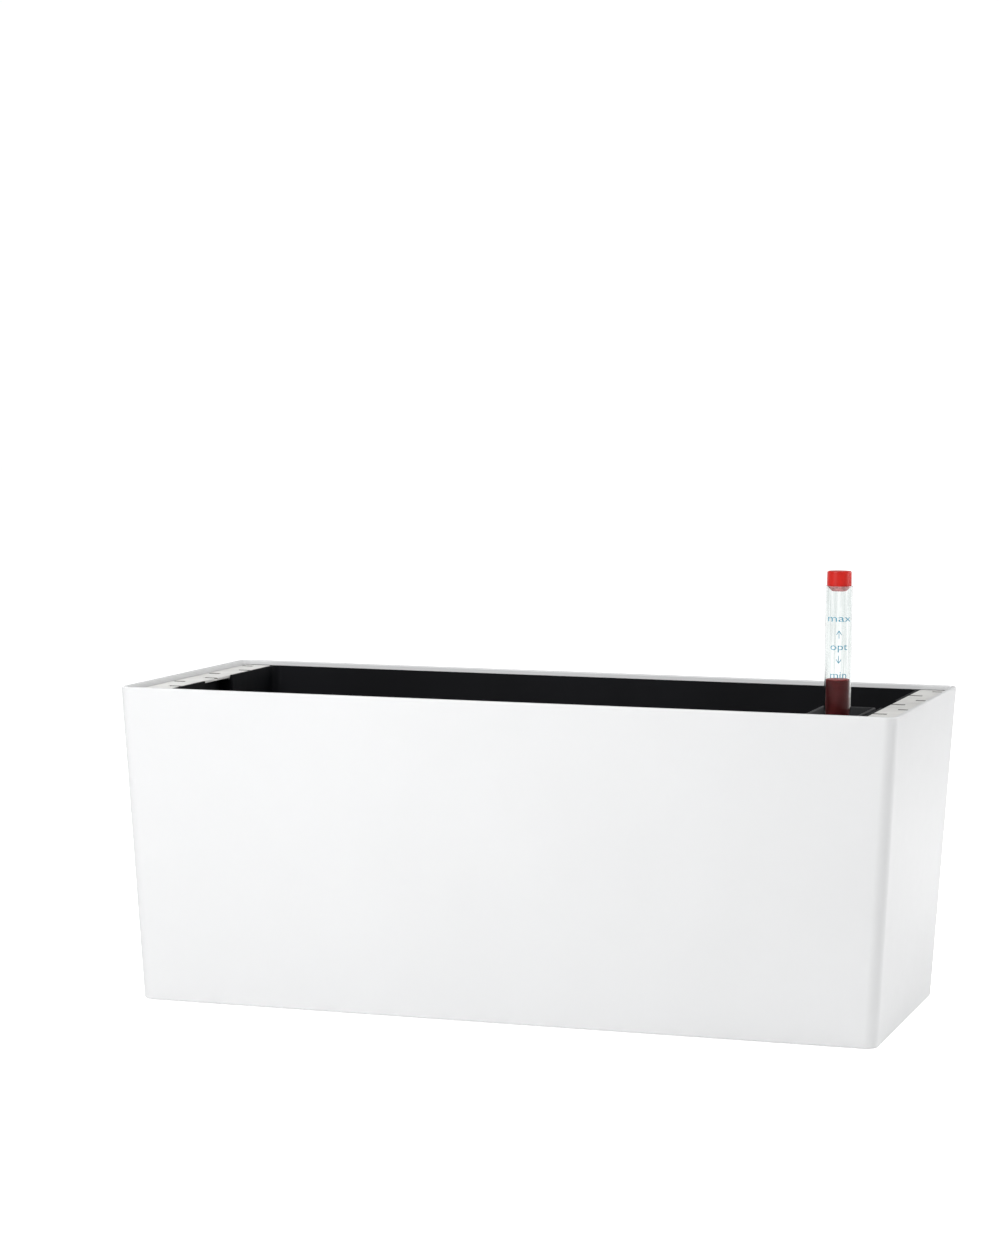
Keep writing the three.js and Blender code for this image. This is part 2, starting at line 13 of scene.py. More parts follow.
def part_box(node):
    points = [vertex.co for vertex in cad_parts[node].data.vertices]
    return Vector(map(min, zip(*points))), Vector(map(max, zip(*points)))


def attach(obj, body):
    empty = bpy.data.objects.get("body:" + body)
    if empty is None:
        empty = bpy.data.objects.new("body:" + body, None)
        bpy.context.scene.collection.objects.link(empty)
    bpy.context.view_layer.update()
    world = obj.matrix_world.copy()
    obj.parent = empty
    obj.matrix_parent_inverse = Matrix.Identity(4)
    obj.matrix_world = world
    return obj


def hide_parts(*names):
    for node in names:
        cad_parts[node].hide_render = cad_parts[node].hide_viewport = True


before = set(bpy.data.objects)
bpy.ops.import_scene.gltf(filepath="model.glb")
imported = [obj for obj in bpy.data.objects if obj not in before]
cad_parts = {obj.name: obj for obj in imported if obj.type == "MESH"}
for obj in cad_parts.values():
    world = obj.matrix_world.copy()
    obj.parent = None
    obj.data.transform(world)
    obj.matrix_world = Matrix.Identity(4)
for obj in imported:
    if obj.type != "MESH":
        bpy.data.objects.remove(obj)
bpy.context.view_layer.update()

MM = 0.001


def frame_box(node):
    """The lowest and highest corners of a node's box, in millimetres."""
    low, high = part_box(node)
    return low / MM, high / MM


def middle_of(low, high):
    """The upright axis through the middle of a box, as (x, y)."""
    return (low.x + high.x) / 2, (low.y + high.y) / 2


# ------------------------------------------------------------------ driving dimensions
TAPER = 0.0563  # lean of the cover pot's walls, mm inwards per mm down
END_TAPER = 0.02  # lean of the liner's end walls
CUT_PAST = 1.0  # how far a cutting shape reaches past the face that it cuts
JOIN_DEPTH = 1.0  # how far a shape runs into the one that it is joined to

# Cover pot
SHELL_LOW, SHELL_HIGH = frame_box("outer_shell")
SHELL_WALL = 3.0
SHELL_CORNER_R = 8.0
SHELL_FLOOR_Z = (4.5, 7.5)  # underside and top of the floor
FLOOR_BORDER = (6.0, 10.0)  # width of the flat ring round the floor, below and on top
BASE_RIM_WIDTH = 5.5
LEAST_CORNER_R = 2.5
RIM_EDGE_R = 0.9
DRAIN_R = 9.0
DRAIN_PLAY = 0.4
RIB_HEIGHT = 1.6
RIB_WIDTH = 1.6
RIB_INSET = 25.0
RIB_ROOT = 0.4  # how far the ribs run up into the floor
RIBS_X = (-160, -105, -50, 50, 105, 160)
RIBS_Y = (-45, 45)
PLUG_HEAD_GAP = 0.2  # between the plug's head and the washer
PLUG_TOP_RIM = 2.0
PLUG_TOP_DEPTH = 1.4
COIN_SLOT = (18.0, 2.6, 0.9)  # length, width and depth
PAD_GRIP = (  # the pad's sole, as shares of its radius and heights above the ground
    (0, 0.5), (0.28, 0.5), (0.34, 0), (0.6, 0), (0.64, 0.5), (0.7, 0.5), (0.74, 0), (1, 0)
)

# Liner
LINER_LOW, LINER_HIGH = frame_box("inner_liner")
LINER_WALL = 1.8
LINER_FLOOR_T = 2.2
LEDGE_DROP = 3.3  # from the liner's edge down to the ledge that carries the handles
LEDGE_T = 2.4
LEDGE_Z = LINER_HIGH.z - LEDGE_DROP
FLANGE_CORNER_R = 5.0
TUB_HALF = (224.0, 100.0)  # inside, at the liner's top
TUB_FLOOR_R = 3.0
TUB_FLOOR_Z = LINER_LOW.z + LINER_FLOOR_T  # top of the floor
POSTS_X = (-190, 45, 190)
POST_Y = 70
POST_R = 5.0
POST_GAP = 0.3  # between a post and the separator
LINER_DRAIN_R = 8.0
LINER_PLUG_LOW, LINER_PLUG_HIGH = frame_box("liner_drain_plug")
LINER_PLUG_AXIS = middle_of(LINER_PLUG_LOW, LINER_PLUG_HIGH)
LINER_PLUG_R = 7.6
LINER_PLUG_GAP = 0.3  # between the floor and the plug's head
LINER_PLUG_HEAD_T = 2.7
KNOB_WAIST = ((3.2, 0), (2.6, 4), (4, 6))  # the knob's radius at heights above the plug's head

# Handles
BAR_LOW, BAR_HIGH = frame_box("right_lift_handle")
BAR_T = 3.0
BAR_CORNER_R = 2.0
BAR_PLAY = 0.3
BAR_MIDDLE_X = (BAR_LOW.x + BAR_HIGH.x) / 2
BAR_BOTTOM_Z = BAR_HIGH.z - BAR_T
GROOVE_PITCH = 30.0
GROOVE_COUNT = 7
GROOVE_SIZE = (5.0, 0.9)  # width and depth
GROOVE_FROM_MIDDLE = 0.4  # from the bar's middle line to a groove's near end
LEG_X = 235.0
LEG_Y = 50.0
LEG_SIZE = (3.0, 16.0)
LEG_PLAY = 0.6
BARB_SIZE = (6.0, 6.0)  # thickness and height
GUIDE_WALL = 1.8
GUIDE_Z = 180.0
FINGER_HALF_WIDTH = 24.0
FINGER_DEPTH = 10.0
FINGER_REACH_X = 234.0
FINGER_WALL = 1.6
GRIP_REACH_X = 233.0
GRIP_RISE = 1.2

# Separator, shaft and baskets
PLATE_LOW, PLATE_HIGH = frame_box("separator_plate")
PLATE_T = 2.4
PLATE_CORNER_R = 5.0
PLATE_RIM_T = 1.6
SLOT_SIZE = (14.0, 3.0)
SLOT_PITCH = (22.0, 23.0)
SLOT_MARGIN = 3.0
SLOT_ROWS = 3  # on each side of the middle row
PLATE_RIM_LIFT = 0.5  # from the tray's underside to its rim's
SHAFT_LOW, SHAFT_HIGH = frame_box("filler_shaft")
SHAFT_AXIS = middle_of(SHAFT_LOW, SHAFT_HIGH)
SHAFT_HALF = ((SHAFT_HIGH.x - SHAFT_LOW.x) / 2, (SHAFT_HIGH.y - SHAFT_LOW.y) / 2)
SHAFT_WALL = 1.8
SHAFT_CORNER_R = 2.2
SHAFT_INNER_R = 0.6
SHAFT_OPENING_R = 1.5
DIVIDER_INSET = 1.0  # from the shaft's outside to the divider's ends, which are inside its walls
DIVIDER_Y = (-41.4, -39.6)
DIVIDER_TOP_Z = 188.0
BASKET_X = (-150, -20, 110)
BASKET_TOP_R = 28.0
BASKET_FOOT_R = 22.0
BASKET_FLANGE_R = 32.0
BASKET_FLANGE_T = 2.0
BASKET_WALL = 1.8
BASKET_HOLE_PLAY = 0.4
BASKET_SLOTS = 8
BASKET_SLOT_WIDTH = 3.6
BASKET_SLOT_Z = (20, 48)
BASKET_SLOT_REACH = (20, 34)  # radii between which a slot is cut

# Gauge
TUBE_LOW, TUBE_HIGH = frame_box("gauge_tube")
CAP_LOW, CAP_HIGH = frame_box("gauge_cap")
COLUMN_LOW, COLUMN_HIGH = frame_box("float_column")
BULB_LOW, BULB_HIGH = frame_box("float_bulb")
CHAMBER_LOW, CHAMBER_HIGH = frame_box("gauge_chamber")
GAUGE_AXIS = middle_of(TUBE_LOW, TUBE_HIGH)
TUBE_R = (TUBE_HIGH.x - TUBE_LOW.x) / 2
TUBE_WALL = 0.6
TUBE_BORE_R = TUBE_R - TUBE_WALL
CHAMBER_WALL = 1.6
CHAMBER_FLOOR_T = 2.0
CHAMBER_NECK_HEIGHT = 12.0
CHAMBER_SHOULDER_T = 1.5
CHAMBER_SLOTS = 4
CHAMBER_SLOT_WIDTH = 4.0
CHAMBER_SLOT_HEIGHT = 22.0
CHAMBER_SLOT_LIFT = 5.0  # from the chamber's foot to its slots
SOCKET_PLAY = 0.2
CAP_GAP = 0.3  # between the tube's end and the cap's head
CAP_SPIGOT_R = (4.4, 7.2)  # at its foot and under the head
CAP_SPIGOT_NECK = 0.6  # height of its straight part
CAP_DRAFT = 0.1
COLUMN_WALL = 1.0
COLUMN_TOP_T = 1.5
# height of the column's top band that is painted lighter, as light from above
COLUMN_PAINTED_LIGHT_HEIGHT = 2.0
BULB_GAP = 0.3  # between the bulb's shoulder and the column
BULB_PLAY = 0.2
FLOAT_TRAVEL = 34.5
SCALE_LIFT = 2.8  # from the top of the float at rest to the middle of the lowest word
LETTER_SIZE = 6.0
LETTER_STRETCH = {"min": 1.25, "opt": 1.35, "max": 1.6}
LETTER_STEP = 0.9  # longer edges in a letter are divided, so that it can follow the tube
ARROW_OFFSET = 7.5  # from the middle word to an arrow's middle
ARROW_HALF_SIZE = (1.5, 2.4)  # half of its width and half of its height
STROKE_WIDTH = 0.45
SCALE_TURN = 2.0  # from the tube's front line to the print's middle, round the tube to the right
INK_LIFT = 0.05  # how far the print stands off the tube

# Camera and studio
CAMERA_PLACE = Vector((612.74, -2056.73, 410.13)) * MM
CAMERA_YAW = math.radians(17.33)
CAMERA_PITCH = math.radians(4.49)
CAMERA_ROLL = math.radians(0.49)
CAMERA_LENS = 96.61
FLOOR_HALF_SIZE = 9.0
FLOOR_GLOW = 1.05
BACKDROP_SHADE = 1.02
SURROUND_SHADE = 0.3
LIGHTS = {  # place, point that it faces, size, power in watts
    "key_softbox": ((-0.45, -1.3, 1.3), (0.0, 0.0, 0.1), (0.8, 0.8), 15.6),
    "front_softbox": ((-0.25, -0.9, 0.45), (-0.2, 0.0, 0.1), (0.4, 0.4), 1.6),
    "side_softbox": ((1.3, 0.25, 0.5), (0.25, 0.0, 0.1), (0.6, 0.6), 4.4),
    "rear_softbox": ((1.0, 0.8, 0.6), (0.25, 0.0, 0.1), (0.6, 0.6), 4.9),
    "left_softbox": ((-1.1, 0.9, 0.6), (-0.25, 0.0, 0.1), (0.6, 0.6), 8.0),
    "overhead_softbox": ((0.0, -0.3, 1.8), (0.0, 0.0, 0.1), (1.6, 1.2), 3.0),
}


# ------------------------------------------------------------------ mesh tools
LEAST_TURN = math.radians(12)  # a corner that turns less is left as it is
EDGE_SHARE = 0.45  # the most of an edge that a rounded corner takes up
NEAR_AXIS = 0.001
MERGE_DISTANCE = 0.002
BEVEL_ANGLE = math.radians(35)  # edges that turn more are rounded
SMOOTH_ANGLE = math.radians(38)  # edges that turn more are shaded sharp
FACE_MARGIN = 0.1  # allowed when faces are picked by their place
WALL_NORMAL = 0.4  # least part of a groove wall's normal that runs along Y


def linked(name, data):
    """A new object in the scene, made from a mesh, a curve, a light or a camera."""
    made = bpy.data.objects.new(name, data)
    bpy.context.scene.collection.objects.link(made)
    return made


def new_object(name, points, faces):
    mesh = bpy.data.meshes.new(name)
    mesh.from_pydata([Vector(p) * MM for p in points], [], faces)
    shape = bmesh.new()
    shape.from_mesh(mesh)
    bmesh.ops.recalc_face_normals(shape, faces=shape.faces)
    shape.to_mesh(mesh)
    shape.free()
    return linked(name, mesh)


def filleted(outline, radius, steps=3, closed=True):
    """The outline with its corners rounded, less where an edge is short and not at all on the axis."""
    rounded = []
    for i, point in enumerate(outline):
        here = Vector(point)
        before = Vector(outline[i - 1])
        after = Vector(outline[(i + 1) % len(outline)])
        at_end = not closed and i in (0, len(outline) - 1)
        turn = 0.0 if at_end else math.pi - (before - here).angle(after - here)
        if turn < LEAST_TURN or abs(here.x) < NEAR_AXIS:
            rounded.append(here)
            continue
        back = before - here
        on = after - here
        reach = min(radius * math.tan(turn / 2), EDGE_SHARE * back.length, EDGE_SHARE * on.length)
        start = here + back.normalized() * reach
        end = here + on.normalized() * reach
        towards = (back.normalized() + on.normalized()).normalized()
        centre = here + towards * reach / math.sin(turn / 2)
        spoke = start - centre
        side = 1 if spoke.cross(end - centre) > 0 else -1
        for step in range(steps + 1):
            rounded.append(centre + Matrix.Rotation(side * turn * step / steps, 2) @ spoke)
    return rounded


def turned(name, outline, axis=(0, 0), edge=0.3, segments=96):
    """A solid of revolution about an upright axis, from a closed outline of (radius, z)."""
    outline = filleted([Vector(p) for p in outline], edge) if edge else [Vector(p) for p in outline]
    points = []
    rows = []
    for radius, z in outline:
        count = 1 if radius < NEAR_AXIS else segments
        rows.append(range(len(points), len(points) + count))
        for i in range(count):
            angle = 2 * math.pi * i / segments
            points.append((axis[0] + radius * math.cos(angle), axis[1] + radius * math.sin(angle), z))
    faces = []
    for row, following in zip(rows, rows[1:] + rows[:1]):
        for i in range(segments):
            j = (i + 1) % segments
            if len(row) > 1 and len(following) > 1:
                faces.append((row[i], row[j], following[j], following[i]))
            elif len(row) > 1:
                faces.append((row[i], row[j], following[0]))
            elif len(following) > 1:
                faces.append((row[0], following[j], following[i]))
    return new_object(name, points, faces)


def rod(radius, z_range, x, y, segments=48):
    low, high = z_range
    outline = [(0, low), (radius, low), (radius, high), (0, high)]
    return turned("rod", outline, (x, y), edge=0, segments=segments)


def rect_outline(half_length, half_depth, radius, steps=8):
    """A rounded rectangle round the origin, anticlockwise, with steps to each corner."""
    outline = []
    for quarter, (x, y) in enumerate(((1, -1), (1, 1), (-1, 1), (-1, -1))):
        for step in range(steps + 1):
            angle = (quarter - 1 + step / steps) * math.pi / 2
            outline.append((
                x * (half_length - radius) + radius * math.cos(angle),
                y * (half_depth - radius) + radius * math.sin(angle),
            ))
    return outline


def rect_ring(half_length, half_depth, radius, z, steps=8):
    return [(x, y, z) for x, y in rect_outline(half_length, half_depth, radius, steps)]


def lofted(name, rings):
    """A closed skin through a stack of rings, its first and last rings filled."""
    count = len(rings[0])
    points = [p for ring in rings for p in ring]
    faces = [tuple(range(count)), tuple(range(len(points) - count, len(points)))]
    for level in range(len(rings) - 1):
        for i in range(count):
            j = (i + 1) % count
            low = level * count
            high = low + count
            faces.append((low + i, low + j, high + j, high + i))
    return new_object(name, points, faces)


def mesh_of(drawn):
    """The mesh that a drawn curve or word makes, which takes its place."""
    graph = bpy.context.evaluated_depsgraph_get()
    mesh = bpy.data.meshes.new_from_object(drawn.evaluated_get(graph))
    bpy.data.objects.remove(drawn)
    return mesh


def slab(name, outline, holes, z_range, edge):
    """A flat plate with holes and rounded edges."""
    low, high = z_range
    curve = bpy.data.curves.new(name, "CURVE")
    curve.dimensions = "2D"
    curve.fill_mode = "BOTH"
    curve.extrude = (high - low) / 2 - edge
    curve.bevel_depth = edge
    curve.bevel_resolution = 2
    curve.offset = -edge
    for loop in [outline] + [hole[::-1] for hole in holes]:
        spline = curve.splines.new("POLY")
        spline.points.add(len(loop) - 1)
        for point, (x, y) in zip(spline.points, loop):
            point.co = (x, y, 0, 1)
        spline.use_cyclic_u = True
    mesh = mesh_of(linked(name, curve))
    shape = bmesh.new()
    shape.from_mesh(mesh)
    bmesh.ops.remove_doubles(shape, verts=shape.verts, dist=MERGE_DISTANCE)
    bmesh.ops.translate(shape, verts=shape.verts, vec=(0, 0, (low + high) / 2))
    bmesh.ops.scale(shape, verts=shape.verts, vec=(MM, MM, MM))
    bmesh.ops.recalc_face_normals(shape, faces=shape.faces)
    shape.to_mesh(mesh)
    shape.free()
    return linked(name, mesh)


def block(x_range, y_range, z_range, name="block"):
    (left, right), (front, rear) = x_range, y_range
    corners = ((left, front), (right, front), (right, rear), (left, rear))
    return lofted(name, [[(x, y, z) for x, y in corners] for z in z_range])


def around(centre, half):
    """The range that reaches half to each side of the centre."""
    return centre - half, centre + half


def moved(outline, centre):
    return [(x + centre[0], y + centre[1]) for x, y in outline]


def on_side(side, span):
    """A range of X given for the right side, or its mirror image on the left."""
    return span if side > 0 else (-span[1], -span[0])


def apply_modifiers(thing):
    graph = bpy.context.evaluated_depsgraph_get()
    mesh = bpy.data.meshes.new_from_object(thing.evaluated_get(graph))
    thing.modifiers.clear()
    thing.data = mesh


def combine(thing, tools, operation="DIFFERENCE"):
    for tool in tools:
        modifier = thing.modifiers.new("combine", "BOOLEAN")
        modifier.operation = operation
        modifier.solver = "EXACT"
        modifier.object = tool
    apply_modifiers(thing)
    for tool in tools:
        bpy.data.objects.remove(tool)
    return thing


def round_edges(thing, width):
    modifier = thing.modifiers.new("edges", "BEVEL")
    modifier.width = width * MM
    modifier.segments = 2
    modifier.limit_method = "ANGLE"
    modifier.angle_limit = BEVEL_ANGLE
    modifier.miter_outer = "MITER_ARC"
    apply_modifiers(thing)
    return thing


def cutters_round(count, radius_range, width, z_range, axis):
    """Cutters for upright slots, at even angles round an axis and none of them on X or Y."""
    cutters = []
    for i in range(count):
        cutter = block(radius_range, around(0, width / 2), z_range)
        turn = Matrix.Rotation((i + 0.5) / count * 2 * math.pi, 4, "Z")
        cutter.data.transform(Matrix.Translation((axis[0] * MM, axis[1] * MM, 0)) @ turn)
        cutters.append(cutter)
    return cutters


def place(piece, body, material, nodes=()):
    """Gives a finished piece its material and shading, and hangs it on its CAD body."""
    piece.data.materials.clear()
    piece.data.materials.append(material)
    piece.data.shade_smooth()
    piece.data.set_sharp_from_angle(angle=SMOOTH_ANGLE)
    normals = piece.modifiers.new("normals", "WEIGHTED_NORMAL")
    normals.keep_sharp = True
    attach(piece, body)
    if nodes:
        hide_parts(*nodes)


def give_faces(piece, material, wanted):
    """Gives the material to the faces that are wanted, by their middle in millimetres and their normal."""
    piece.data.materials.append(material)
    for face in piece.data.polygons:
        if wanted(face.center / MM, face.normal):
            face.material_index = len(piece.data.materials) - 1


# ------------------------------------------------------------------ materials
NOISE_SPAN = (0.3, 0.7)  # where nearly all of a noise's values lie
GLOSS_PATCH = 9.0
GLOSS_CHANGE = 0.04
RIPPLE_SIZE = 28.0
RIPPLE_DEPTH = 0.05
FOAM_CELL = 2.6
FOAM_CELL_DEPTH = 0.25


class Recipe:
    """A node material, built up from its principled shader."""

    def __init__(self, name, **sockets):
        self.material = bpy.data.materials.new(name)
        self.material.use_nodes = True
        self.tree = self.material.node_tree
        self.shader = self.tree.nodes["Principled BSDF"]
        for socket, value in sockets.items():
            self.shader.inputs[socket.replace("_", " ")].default_value = value
        self.where = self.add("ShaderNodeTexCoord").outputs["Object"]

    def add(self, kind, inputs=None, **settings):
        node = self.tree.nodes.new(kind)
        for key, value in settings.items():
            setattr(node, key, value)
        for key, value in (inputs or {}).items():
            if isinstance(value, bpy.types.NodeSocket):
                self.tree.links.new(value, node.inputs[key])
            else:
                node.inputs[key].default_value = value
        return node

    def feed(self, socket, output):
        self.tree.links.new(output, self.shader.inputs[socket])

    def noise(self, size, detail=2.0, stretch=(1, 1, 1)):
        """Noise whose features are about size millimetres across, longer where stretch is under 1."""
        scaled = self.add("ShaderNodeMapping", {"Vector": self.where, "Scale": stretch})
        settings = {"Vector": scaled.outputs["Vector"], "Scale": 1 / (size * MM), "Detail": detail}
        return self.add("ShaderNodeTexNoise", settings).outputs["Fac"]

    def between(self, factor, low, high):
        """A value that follows a noise from low to high."""
        span = {"Value": factor, "From Min": NOISE_SPAN[0], "From Max": NOISE_SPAN[1]}
        made = self.add("ShaderNodeMapRange", {**span, "To Min": low, "To Max": high})
        return made.outputs["Result"]

    def tint(self, factor, low, high):
        """A colour that follows a noise from low to high."""
        made = self.add("ShaderNodeMix", data_type="RGBA")
        self.tree.links.new(self.between(factor, 0.0, 1.0), made.inputs["Factor"])
        made.inputs["A"].default_value = (*low, 1)
        made.inputs["B"].default_value = (*high, 1)
        return made.outputs["Result"]

    def bump(self, height, depth, under=None):
        inputs = {"Height": height, "Distance": depth * MM, "Strength": 1.0}
        if under:
            inputs["Normal"] = under
        return self.add("ShaderNodeBump", inputs).outputs["Normal"]


def shaded(colour, share):
    return tuple(min(1.0, c * share) for c in colour)


def moulded_plastic(name, colour, roughness, grain, depth, tone, tone_size=70, flow=(1, 1, 1), **sockets):
    """Injection-moulded plastic: a fine even grain, slow changes of tone, and a slightly uneven gloss.

    The grain's size and depth and the patches of tone are in millimetres, the tone is the share by which the
    colour varies, and the patches are drawn out along the axes where the flow is under 1.
    """
    recipe = Recipe(name, **sockets)
    patches = recipe.noise(tone_size, 3.0, flow)
    recipe.feed("Base Color", recipe.tint(patches, shaded(colour, 1 - tone), shaded(colour, 1 + tone)))
    gloss = recipe.noise(GLOSS_PATCH, 3.0)
    recipe.feed("Roughness", recipe.between(gloss, roughness - GLOSS_CHANGE, roughness + GLOSS_CHANGE))
    ripple = recipe.bump(recipe.noise(RIPPLE_SIZE, 1.0), RIPPLE_DEPTH)
    recipe.feed("Normal", recipe.bump(recipe.noise(grain, 2.0), depth, ripple))
    return recipe.material


def clear_plastic():
    """Clear extruded tube, slightly waved, with faint cloudy draw lines along it."""
    recipe = Recipe("clear_plastic", IOR=1.4, Specular_IOR_Level=0.3, Transmission_Weight=1.0)
    recipe.shader.inputs["Specular Tint"].default_value = (0.2, 0.2, 0.2, 1)
    streaks = recipe.noise(size=1.3, detail=3.0, stretch=(1, 1, 0.03))
    recipe.feed("Base Color", recipe.tint(streaks, (0.62, 0.66, 0.65), (1.0, 1.0, 1.0)))
    recipe.feed("Roughness", recipe.between(streaks, 0.03, 0.0))
    recipe.feed("Normal", recipe.bump(streaks, 0.02))
    return recipe.material


def scale_ink():
    """Blue ink that covers a little unevenly."""
    recipe = Recipe("scale_ink", Roughness=0.45)
    cover = recipe.noise(size=0.9)
    recipe.feed("Base Color", recipe.tint(cover, (0.08, 0.32, 0.47), (0.24, 0.54, 0.67)))
    return recipe.material


def foam():
    """Pale foam with rounded cells."""
    recipe = Recipe("float_foam", Roughness=0.8)
    settings = {"Vector": recipe.where, "Scale": 1 / (FOAM_CELL * MM)}
    cells = recipe.add("ShaderNodeTexVoronoi", settings).outputs["Distance"]
    recipe.feed("Base Color", recipe.tint(cells, (0.84, 0.83, 0.8), (0.72, 0.71, 0.67)))
    recipe.feed("Normal", recipe.bump(cells, -FOAM_CELL_DEPTH))
    return recipe.material


def shade_when_seen(tree, unseen, seen):
    """The shade unseen for the light that reaches the object, and seen for the picture's own background."""
    path = tree.nodes.new("ShaderNodeLightPath")
    either = tree.nodes.new("ShaderNodeMath")
    either.operation = "MAXIMUM"
    tree.links.new(path.outputs["Is Camera Ray"], either.inputs[0])
    tree.links.new(path.outputs["Is Transmission Ray"], either.inputs[1])
    shade = tree.nodes.new("ShaderNodeMapRange")
    shade.inputs["To Min"].default_value = unseen
    shade.inputs["To Max"].default_value = seen
    tree.links.new(either.outputs["Value"], shade.inputs["Value"])
    return shade.outputs["Result"]


def studio_floor():
    """Pale paper, overexposed in the picture so that it runs into the backdrop."""
    recipe = Recipe("studio_floor", Roughness=0.8, Specular_IOR_Level=0.0)
    recipe.shader.inputs["Emission Color"].default_value = (1, 1, 1, 1)
    recipe.feed("Emission Strength", shade_when_seen(recipe.tree, 0.0, FLOOR_GLOW))
    paper = recipe.noise(size=400, detail=1.0)
    recipe.feed("Base Color", recipe.tint(paper, (0.9, 0.9, 0.9), (0.92, 0.92, 0.92)))
    return recipe.material


WHITE = moulded_plastic(
    "shell_white", (0.8, 0.805, 0.81), roughness=0.38, grain=0.9, depth=0.008,
    tone=0.008, Coat_Weight=0.12, Coat_Roughness=0.15,
)
BLACK = moulded_plastic(
    "liner_black", (0.005, 0.0053, 0.0068), roughness=0.55, grain=0.7, depth=0.03,
    tone=0.25, flow=(1, 1, 0.3), Specular_IOR_Level=0.1,
)
INNER_BLACK = moulded_plastic(
    "inner_part_black", (0.021, 0.022, 0.024), roughness=0.5, grain=0.7, depth=0.03,
    tone=0.2, flow=(1, 1, 0.3), Specular_IOR_Level=0.3,
)
GREY = moulded_plastic(
    "handle_grey", (0.76, 0.755, 0.735), roughness=0.5, grain=0.6, depth=0.03, tone=0.07, tone_size=16
)
# Dark grey for the groove walls: painted shade in the handles' grooves.
GROOVE_PAINTED_SHADE = moulded_plastic(
    "handle_groove_painted_shade", (0.14, 0.138, 0.13), roughness=0.7, grain=0.6, depth=0.03, tone=0.1
)
RED = moulded_plastic(
    "cap_red", (0.64, 0.018, 0.012), roughness=0.34, grain=0.5, depth=0.006,
    tone=0.08, tone_size=12, Specular_IOR_Level=0.3,
)
# A paler copy of the cap's red for its spigot: painted light coming through the thin plastic.
SPIGOT_PAINTED_LIGHT = moulded_plastic(
    "cap_spigot_painted_light", (0.78, 0.36, 0.36), roughness=0.4, grain=0.5, depth=0.006, tone=0.08, tone_size=5
)
MAROON = moulded_plastic(
    "float_maroon", (0.095, 0.009, 0.01), roughness=0.55, grain=0.6, depth=0.01,
    tone=0.2, flow=(1, 1, 0.2), Specular_IOR_Level=0.15,
)
# A lighter copy of the float's maroon for its tip: painted light from above.
MAROON_PAINTED_TOP_LIGHT = moulded_plastic(
    "float_tip_painted_light", (0.34, 0.022, 0.022), roughness=0.5, grain=0.6, depth=0.01, tone=0.15, tone_size=6
)
RUBBER = moulded_plastic(
    "rubber_grey", (0.09, 0.095, 0.1), roughness=0.75, grain=0.5, depth=0.03, tone=0.12
)
CLEAR = clear_plastic()
INK = scale_ink()
FOAM = foam()


# ------------------------------------------------------------------ cover pot
def cover_pot():
    """One thin-walled moulding: a tapered wall, a floor, and a recess under it with a ring to stand on."""
    rim_z, base_z = SHELL_HIGH.z, SHELL_LOW.z
    floor_low, floor_top = SHELL_FLOOR_Z

    def lean(z):
        return -TAPER * (rim_z - z)

    recess = lean(base_z) - BASE_RIM_WIDTH
    profile = [
        (recess - FLOOR_BORDER[0], floor_low),
        (recess, floor_low),
        (recess, base_z),
        (lean(base_z), base_z),
        (0, rim_z),
        (-SHELL_WALL, rim_z),
        (lean(floor_top) - SHELL_WALL, floor_top),
        (lean(floor_top) - SHELL_WALL - FLOOR_BORDER[1], floor_top),
    ]
    shift = 1000.0  # keeps the offsets clear of filleted's test for the axis
    shifted_profile = [(offset + shift, z) for offset, z in profile]
    outline = filleted(shifted_profile, RIM_EDGE_R, steps=4, closed=False)
    rings = []
    for shifted, z in outline:
        offset = shifted - shift
        radius = max(SHELL_CORNER_R + offset - lean(z), LEAST_CORNER_R)
        rings.append(rect_ring(SHELL_HIGH.x + offset, SHELL_HIGH.y + offset, radius, z, steps=12))
    shell = lofted("cover_pot_shell", rings)
    drain = rod(DRAIN_R, (floor_low - CUT_PAST, floor_top + CUT_PAST), 0, 0, segments=96)
    combine(shell, [drain])
    place(shell, "cover_pot", WHITE, ["outer_shell"])


def base_ribs():
    """Stiffening ribs moulded on the underside of the floor."""
    z_range = (SHELL_FLOOR_Z[0] - RIB_HEIGHT, SHELL_FLOOR_Z[0] + RIB_ROOT)
    length = around(0, SHELL_HIGH.x - RIB_INSET)
    depth = around(0, SHELL_HIGH.y - RIB_INSET)
    ribs = [block(length, around(y, RIB_WIDTH / 2), z_range, "cover_pot_base_ribs") for y in RIBS_Y]
    ribs += [block(around(x, RIB_WIDTH / 2), depth, z_range) for x in RIBS_X]
    grid = combine(ribs[0], ribs[1:], "UNION")
    place(round_edges(grid, 0.3), "cover_pot", WHITE)


def foot_pads():
    """Round rubber pads with a grip ring moulded into the sole."""
    for end in ("front", "rear"):
        for side in ("left", "right"):
            node = f"foot_pad_{end}_{side}"
            low, high = frame_box(node)
            radius = (high.x - low.x) / 2
            outline = [(radius * share, low.z + height) for share, height in PAD_GRIP]
            outline += [(radius, high.z), (0, high.z)]
            pad = turned(node + "_disc", outline, middle_of(low, high), edge=0.25, segments=64)
            place(pad, "cover_pot", RUBBER, [node])


